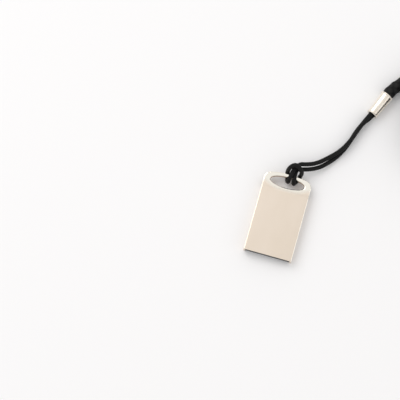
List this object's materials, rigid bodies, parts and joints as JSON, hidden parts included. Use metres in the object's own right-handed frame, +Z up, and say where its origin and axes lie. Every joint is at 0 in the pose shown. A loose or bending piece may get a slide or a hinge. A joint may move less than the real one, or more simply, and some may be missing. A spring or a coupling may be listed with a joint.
{
  "type": "usb flash drive",
  "caption": "Capless slim metal USB flash drive with an oval eyelet, a thin cord hitched on it, a metal ferrule and a plaited wrist cord.",
  "frame": {"origin": "on the table below the middle of the drive, lanyard left out", "axes": "+Y from the plug end to the eyelet, +Z up out of the satin face, +X across the drive to its right"},
  "size_m": [0.0685, 0.0671, 0.0069],
  "materials": {
    "shell_metal": "satin nickel with polished edges",
    "adhesive": "translucent film",
    "black_plastic": "matt",
    "board_laminate": "solder mask",
    "mould_compound": "matt moulded",
    "silicon": "polished",
    "ceramic_chip": "sintered",
    "gold": "plated",
    "thin_cord_nylon": "fine woven",
    "bright_metal": "polished",
    "glue": "clear amber",
    "plaited_nylon": "plaited"
  },
  "bodies": {
    "drive": {"metal_shell": "shell_metal", "shell_adhesive": "adhesive", "plastic_spacer": "black_plastic", "module_adhesive": "adhesive", "circuit_board": "board_laminate", "mould_cap": "mould_compound", "memory_die_lower": "silicon", "memory_die_upper": "silicon", "die_film_lower": "adhesive", "die_film_upper": "adhesive", "controller_die": "silicon", "controller_film": "adhesive", "capacitors": "ceramic_chip", "resistors": "ceramic_chip", "bond_wires": "gold", "contact_power": "gold", "contact_data_minus": "gold", "contact_data_plus": "gold", "contact_ground": "gold", "test_pads": "gold"},
    "lanyard": {"lanyard_thin_cord": "thin_cord_nylon", "lanyard_ferrule": "bright_metal", "ferrule_core": "glue", "wrist_cord": "plaited_nylon", "wrist_cord_coil": "plaited_nylon", "wrist_cord_end": "plaited_nylon", "loop_collar": "bright_metal"}
  },
  "joints": [
    {"name": "lanyard_swing", "type": "hinge", "parent": "drive", "child": "lanyard", "pos_m": [0, 0.01004, 0.00187], "axis": [1, 0, 0], "range_deg": [-90, 90]}
  ]
}
